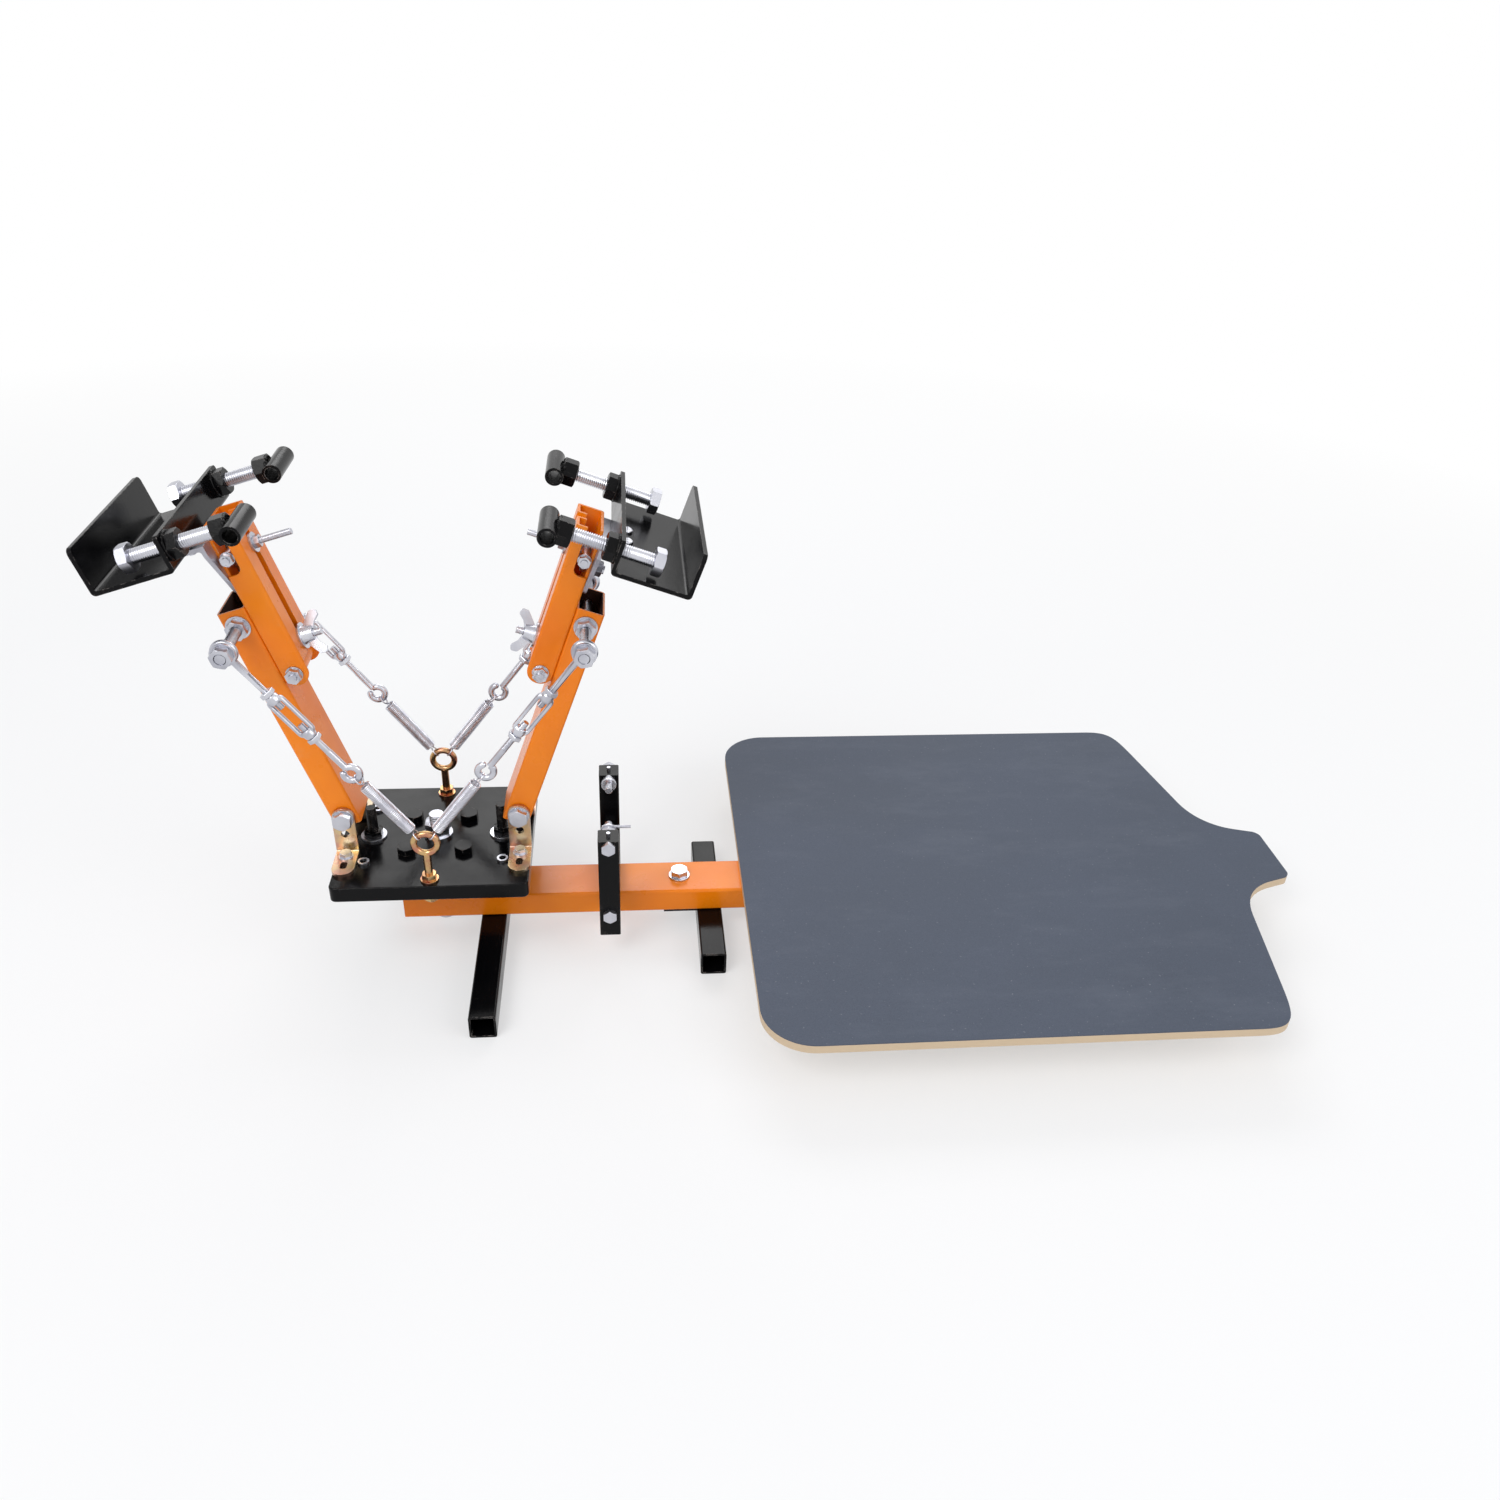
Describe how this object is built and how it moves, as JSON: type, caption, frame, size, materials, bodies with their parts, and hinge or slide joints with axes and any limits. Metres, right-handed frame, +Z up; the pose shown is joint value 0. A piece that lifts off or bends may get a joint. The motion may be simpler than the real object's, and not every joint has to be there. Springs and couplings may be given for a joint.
{
  "type": "manual screen printing machine",
  "caption": "Tabletop manual screen printing machine: sprung screen arms with screw clamps on a turning head, a registration gate and a flat printing board on a beam with cross feet.",
  "frame": {"origin": "middle of the left foot's underside, on the surface the machine stands on, in the machine's middle plane", "axes": "+X along the beam from the head to the far end of the printing board, +Z up, +Y across the machine to the rear"},
  "size_m": [0.8915, 0.409, 0.3735],
  "materials": {
    "orange_paint": "gloss orange paint",
    "black_paint": "gloss black paint",
    "zinc": "bright zinc plating",
    "carrier_steel": "plain grey steel",
    "yellow_plate": "yellow plated steel",
    "plywood": "plywood with a bare edge",
    "laminate": "satin grey-blue laminate"
  },
  "bodies": {
    "base": {"beam": "orange_paint", "left_foot": "black_paint", "right_foot": "black_paint", "beam_bolt": "zinc", "platen_board": "plywood", "platen_laminate": "laminate", "platen_bolts": "zinc", "centre_bolt": "zinc", "thrust_washer": "zinc", "gate_yoke": "black_paint", "gate_screws": "zinc"},
    "head": {"head_plate": "black_paint", "hub": "black_paint", "hub_bolts": "black_paint", "stop_bolts": "black_paint", "plate_hardware": "zinc", "left_brackets": "yellow_plate", "right_brackets": "yellow_plate", "pivot_bolts": "zinc", "front_eye_bolt": "yellow_plate", "rear_eye_bolt": "yellow_plate"},
    "left_arm": {"left_arm_tube": "orange_paint", "left_arm_channel": "orange_paint", "left_arm_hardware": "zinc", "left_clamp_carrier": "carrier_steel", "left_clamp_channel": "black_paint", "left_clamp_bolts": "zinc", "left_spring_rod": "zinc"},
    "left_front_screw": {"left_front_clamp_screw": "zinc", "left_front_clamp_handle": "black_paint"},
    "left_rear_screw": {"left_rear_clamp_screw": "zinc", "left_rear_clamp_handle": "black_paint"},
    "left_lines": {"left_front_turnbuckle": "zinc", "left_rear_turnbuckle": "zinc", "left_front_spring": "zinc", "left_rear_spring": "zinc"},
    "left_loops": {"left_spring_loops": "zinc"},
    "right_arm": {"right_arm_tube": "orange_paint", "right_arm_channel": "orange_paint", "right_arm_hardware": "zinc", "right_clamp_carrier": "carrier_steel", "right_clamp_channel": "black_paint", "right_clamp_bolts": "zinc", "right_spring_rod": "zinc"},
    "right_front_screw": {"right_front_clamp_screw": "zinc", "right_front_clamp_handle": "black_paint"},
    "right_rear_screw": {"right_rear_clamp_screw": "zinc", "right_rear_clamp_handle": "black_paint"},
    "right_lines": {"right_front_turnbuckle": "zinc", "right_rear_turnbuckle": "zinc", "right_front_spring": "zinc", "right_rear_spring": "zinc"},
    "right_loops": {"right_spring_loops": "zinc"}
  },
  "joints": [
    {"name": "head_turn", "type": "hinge", "parent": "base", "child": "head", "pos_m": [-0.04, 0, 0.0745], "axis": [0, 0, 1], "continuous": true},
    {"name": "left_arm_lower", "type": "hinge", "parent": "head", "child": "left_arm", "pos_m": [-0.1052, 0, 0.1199], "axis": [0, -1, 0], "range_deg": [0, 72.5], "stiffness_Nm_per_rad": 0.6, "springref_deg": -171.89},
    {"name": "left_lines_swing", "type": "hinge", "parent": "left_arm", "child": "left_lines", "pos_m": [-0.15512, 0, 0.27822], "axis": [0, -1, 0], "range_deg": [-18.52, 0]},
    {"name": "left_springs_stretch", "type": "slide", "parent": "left_lines", "child": "left_loops", "axis": [0.5883, 0, -0.8086], "range_m": [0, 0.03554], "deforming": ["left_front_spring", "left_rear_spring", "left_spring_loops"]},
    {"name": "left_front_screw_slide", "type": "slide", "parent": "left_arm", "child": "left_front_screw", "axis": [-0.9537, 0, -0.3007], "range_m": [-0.021, 0.02]},
    {"name": "left_rear_screw_slide", "type": "slide", "parent": "left_arm", "child": "left_rear_screw", "axis": [-0.9537, 0, -0.3007], "range_m": [-0.021, 0.02]},
    {"name": "right_arm_lower", "type": "hinge", "parent": "head", "child": "right_arm", "pos_m": [0.0252, 0, 0.1199], "axis": [0, 1, 0], "range_deg": [0, 70.5], "stiffness_Nm_per_rad": 0.6, "springref_deg": -171.89},
    {"name": "right_lines_swing", "type": "hinge", "parent": "right_arm", "child": "right_lines", "pos_m": [0.08061, 0, 0.27638], "axis": [0, 1, 0], "range_deg": [-18.12, 0]},
    {"name": "right_springs_stretch", "type": "slide", "parent": "right_lines", "child": "right_loops", "axis": [-0.6107, 0, -0.7918], "range_m": [0, 0.03371], "deforming": ["right_front_spring", "right_rear_spring", "right_spring_loops"]},
    {"name": "right_front_screw_slide", "type": "slide", "parent": "right_arm", "child": "right_front_screw", "axis": [0.9426, 0, -0.3338], "range_m": [-0.021, 0.02]},
    {"name": "right_rear_screw_slide", "type": "slide", "parent": "right_arm", "child": "right_rear_screw", "axis": [0.9426, 0, -0.3338], "range_m": [-0.021, 0.02]}
  ],
  "couplings": [
    {"joint": "left_lines_swing", "follows": "left_arm_lower", "ratio": -0.25537},
    {"joint": "left_springs_stretch", "follows": "left_arm_lower", "m_per_rad": 0.028083},
    {"joint": "right_lines_swing", "follows": "right_arm_lower", "ratio": -0.25699},
    {"joint": "right_springs_stretch", "follows": "right_arm_lower", "m_per_rad": 0.027398}
  ]
}
